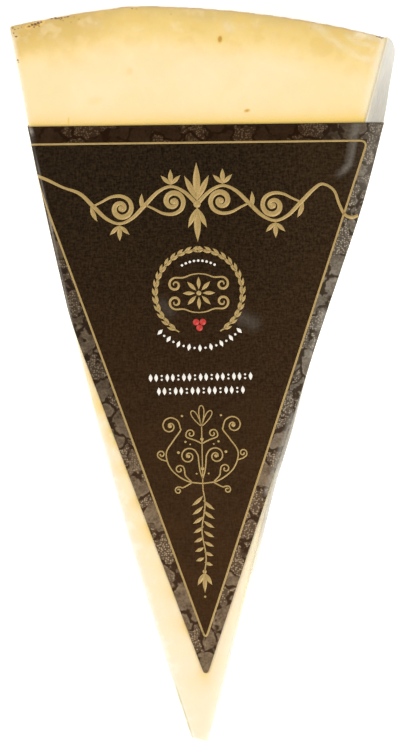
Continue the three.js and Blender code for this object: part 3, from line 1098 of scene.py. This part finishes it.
def make_cheese(finish, rind):
    """The cheese: the wedge's skin a little inside the film, uneven, with painted zones."""
    points, outward, faces = wedge_skin(wedge_lines(120, 70, 30, 3), CHEESE_INSET)
    relief = 0.02 * ripples(points, 8, 31) + 0.012 * ripples(points, 2.2, 32)
    relief = relief + (outward[:, 1] > 0.8) * 0.05 * ripples(points, 1.6, 33)
    points = points + outward * (relief - 0.06)[:, None]
    flat = points[:, :2]
    plan = Plan(0)
    on_top = np.clip((points[:, 2] - THICKNESS + 1.2) / 0.8, 0, 1)
    painted = {"from_rim": distance_to(flat, plan.rim(even(60))),
               "from_left": distance_to(flat, plan.left(even(30))),
               "from_right": distance_to(flat, plan.right(even(30))),
               "label_shade": shade_round_label(flat) * on_top, "haze_and_sheen": folded_film(points)[1]}
    cheese = make_piece("cheese_wedge", "sealed_bag", points, faces, finish, painted).data
    cheese.materials.append(rind)
    normals = np.empty(len(cheese.polygons) * 3, dtype=np.float32)
    cheese.polygons.foreach_get("normal", normals)
    facing_rim = normals.reshape(-1, 3)[:, 1] > 0.75
    cheese.polygons.foreach_set("material_index", facing_rim.astype(np.int32))


# Painted shade in the cheese past the label's top, left and right, a deeper yellow where the label keeps
# light out of the paste: its strength, and how far it reaches
LABEL_SHADE = {"top": (1.25, 1.3), "left": (0.66, 1.5), "right": (0.1, 0.8)}


def shade_round_label(plan):
    """Painted shade beside the label: a deeper yellow fading from each edge, patchily on the left."""
    half = (LABEL_HEIGHT - LABEL_APEX[1]) * LABEL_SPREAD
    tip = LABEL_APEX + (0, LABEL_TIP_RADIUS * 2)
    left, right = np.array([[LABEL_APEX[0] + half * side, LABEL_HEIGHT] for side in (-1, 1)])
    cuts = {"top": (left + (-3, 0), right + (3, 0)), "left": (left, tip), "right": (tip, right)}
    patchy = {"top": 1, "left": np.clip(0.75 + 0.9 * ripples(plan, 8, 34), 0.2, 1.4), "right": 1}
    painted_shade = np.zeros(len(plan))
    for side, (strength, reach) in LABEL_SHADE.items():
        away = distance_to(plan, label_plan(np.array(cuts[side])))
        painted_shade = np.maximum(painted_shade, strength * patchy[side] * np.exp(-away / reach))
    return np.clip(painted_shade, 0, 1)


def make_flange(finish):
    """The welded flange: a thin round-edged strip along the right upper edge."""
    widths = curve_through(FLANGE_WIDTHS, 600)
    along = np.r_[np.linspace(0, 4, 40)[:-1], np.linspace(4, FLANGE_WIDTHS[-1][0], 340)]
    width = np.interp(along, widths[:, 0], widths[:, 1])[:, None]
    length = np.linalg.norm(RIM_RIGHT - TIP_RIGHT)
    foot = side_curve(TIP_RIGHT, RIM_RIGHT, RIGHT_BOW, 1 - along / length)
    share = even(FLANGE_STEPS)
    across = np.r_[share, share[::-1]]
    side = np.repeat([0, 1], FLANGE_STEPS)
    outside = -FLANGE_ROOT + (width + FLANGE_ROOT) * across
    wave = (0.05 * np.sin(along[:, None] * 0.9) + 0.03 * np.sin(along[:, None] * 2.3 + 1)) * across**2
    below = FLANGE_PLY * (side + 0.35 * (1 - 2 * side) * np.clip(outside - width + 0.3, 0, 0.3) / 0.3)
    z = THICKNESS - FLANGE_SINK - droop_at(outside) - below - wave * np.clip(width / 3, 0, 1)
    spot = foot[:, None, :] + outside[..., None] * RIGHT_OUT
    points = np.concatenate([spot, z[..., None]], axis=-1).reshape(-1, 3)
    faces = grid_faces(len(along), len(across), closed=True)[:, ::-1]
    ring = np.arange(FLANGE_STEPS - 1)
    opposite = 2 * FLANGE_STEPS - 1 - ring
    pairs = np.stack([ring, ring + 1, opposite - 1, opposite], axis=-1)
    last = (len(along) - 1) * len(across)
    faces = np.r_[faces, pairs, last + pairs[:, ::-1]]
    flat = np.c_[np.repeat(along, len(across)), outside.ravel()]
    make_piece("film_flange", "sealed_bag", points, faces, finish, flat=flat)


def lump(centre, size, seed, rings=9, spokes=14):
    """A ragged grain: a ball with soft random relief, stretched to its size."""
    turns = np.linspace(0, 2 * pi, spokes + 1)[:-1]
    angle, turn = np.meshgrid(np.linspace(0, pi, rings), turns, indexing="ij")
    ball = np.stack([np.sin(angle) * np.cos(turn), np.sin(angle) * np.sin(turn), np.cos(angle)], axis=-1)
    ball = ball.reshape(-1, 3)
    ball = np.r_[ball[:1], ball[spokes:-spokes], ball[-1:]]
    rough = ball * (1 + 0.28 * ripples(ball, 1.6, seed))[:, None]
    quads = 1 + grid_faces(rings - 2, spokes, closed=True)[:, TURNED]
    end = len(ball) - 1
    ring = 1 + np.arange(spokes)
    following = np.roll(ring, -1)
    top = np.c_[np.zeros(spokes, int), ring, following]
    low = np.c_[np.full(spokes, end), end - spokes - 1 + following, end - spokes - 1 + ring]
    return np.asarray(centre) + rough * size, quads, np.r_[top, low]


# Flecks of rind and truffle on the upper face beside the rim: across, up, and length
FLECKS = [
    (-37.7, 69, 0.5), (-37.2, 68.7, 0.34), (-37.5, 68, 0.42), (-37, 67.3, 0.5), (-36.6, 68.9, 0.3),
    (-35.9, 69.2, 0.24), (-34.4, 69.4, 0.5), (-33.8, 69.7, 0.62), (-33.2, 69.8, 0.7), (-32.6, 70, 0.62),
    (-32, 70.2, 0.5), (-33.4, 69.2, 0.34), (-32.4, 69.4, 0.3), (-29.9, 70.9, 0.36), (-29.2, 71.1, 0.42),
    (-28.7, 70.9, 0.26), (-26.6, 71.3, 0.34), (-25.4, 71.2, 0.22), (-27.6, 70.5, 0.2), (-26, 70.2, 0.18),
    (-24.4, 70.8, 0.2), (-29, 70.9, 0.4), (-28.4, 71, 0.34), (-27.9, 71.05, 0.42), (-27.2, 71.15, 0.3),
    (-26.7, 71.25, 0.36), (-28.1, 70.7, 0.24), (-36.7, 62.6, 0.4), (-36.5, 62.2, 0.3), (-13.8, 72.9, 0.26),
    (-12.9, 72.8, 0.22), (22, 69, 0.16), (35.2, 67.35, 0.4), (35.7, 67.2, 0.5), (36.2, 67.05, 0.45),
    (-6, 71.8, 0.18),
]


def make_flecks(finish):
    """Dark ragged grains pressed flat between the cheese and the film."""
    points, faces, count = [], [], 0
    for seed, (across, up, length) in enumerate(FLECKS, 70):
        size = np.array([length / 2, length / 2 * 0.62, 0.12])
        grain, quads, caps = lump((across, up, THICKNESS - 0.2), size, seed)
        points.append(grain)
        faces.extend((quads + count).tolist() + (caps + count).tolist())
        count += len(grain)
    make_piece("rind_flecks", "sealed_bag", np.concatenate(points), faces, finish, replaces=False)


def make_stage():
    """A pale floor and soft studio light."""
    bpy.ops.mesh.primitive_plane_add(size=6, location=(0, 0, 0))
    floor = bpy.context.object
    floor.name = "floor"
    floor.data.materials.append(floor_finish())
    world = bpy.data.worlds.new("studio")
    bpy.context.scene.world = world
    sky = Finish("studio", world)
    way = sky.node("TexCoord", output="Generated")
    overhead = sky.parts(way)[2].rise(0.72, 0.92)
    colour = sky.blend(overhead, (0.83, 0.83, 0.82, 1), (0.08, 0.08, 0.08, 1))
    light = sky.node("Background", {"Color": colour, "Strength": 1})
    sky.node("OutputWorld", {"Surface": light})
    softbox("key", (0.42, -0.50, 0.62), 0.55, 4.75)
    softbox("fill", (-0.55, 0.25, 0.60), 0.6, 2.5)


def softbox(name, place, size, power):
    """A square light that faces the pack and that the camera doesn't see."""
    light = bpy.data.lights.new(name, "AREA")
    light.size = size
    light.energy = power
    lamp = put_in_scene(name, light)
    lamp.location = place
    lamp.rotation_euler = (-Vector(place)).to_track_quat("-Z", "Y").to_euler()
    lamp.visible_camera = False


def make_camera():
    """Straight above the pack, with the rim at the top."""
    data = bpy.data.cameras.new("camera")
    data.lens = 120
    data.sensor_width = 36
    data.clip_start = 0.01
    data.clip_end = 20
    camera = put_in_scene("camera", data)
    above = THICKNESS + PHOTO_HEIGHT * data.lens / data.sensor_width
    camera.location = ((np.array([*PHOTO_MIDDLE, above]) + PACK_SHIFT) * MM).tolist()
    bpy.context.scene.camera = camera


make_cheese(cheese_finish(), rind_finish())
make_film(film_finish())
make_flange(flange_finish())
make_flecks(truffle_finish())
make_label()
make_gold_print(ink_finish("gold_ink", (184, 153, 91), (150, 126, 77), metal=0.2))
make_white_print(ink_finish("white_ink", (244, 240, 230), (214, 206, 190)))
make_red_print(ink_finish("red_ink", (205, 48, 34), (150, 26, 20)))
make_stage()
make_camera()

bpy.context.scene.view_settings.view_transform = "Standard"
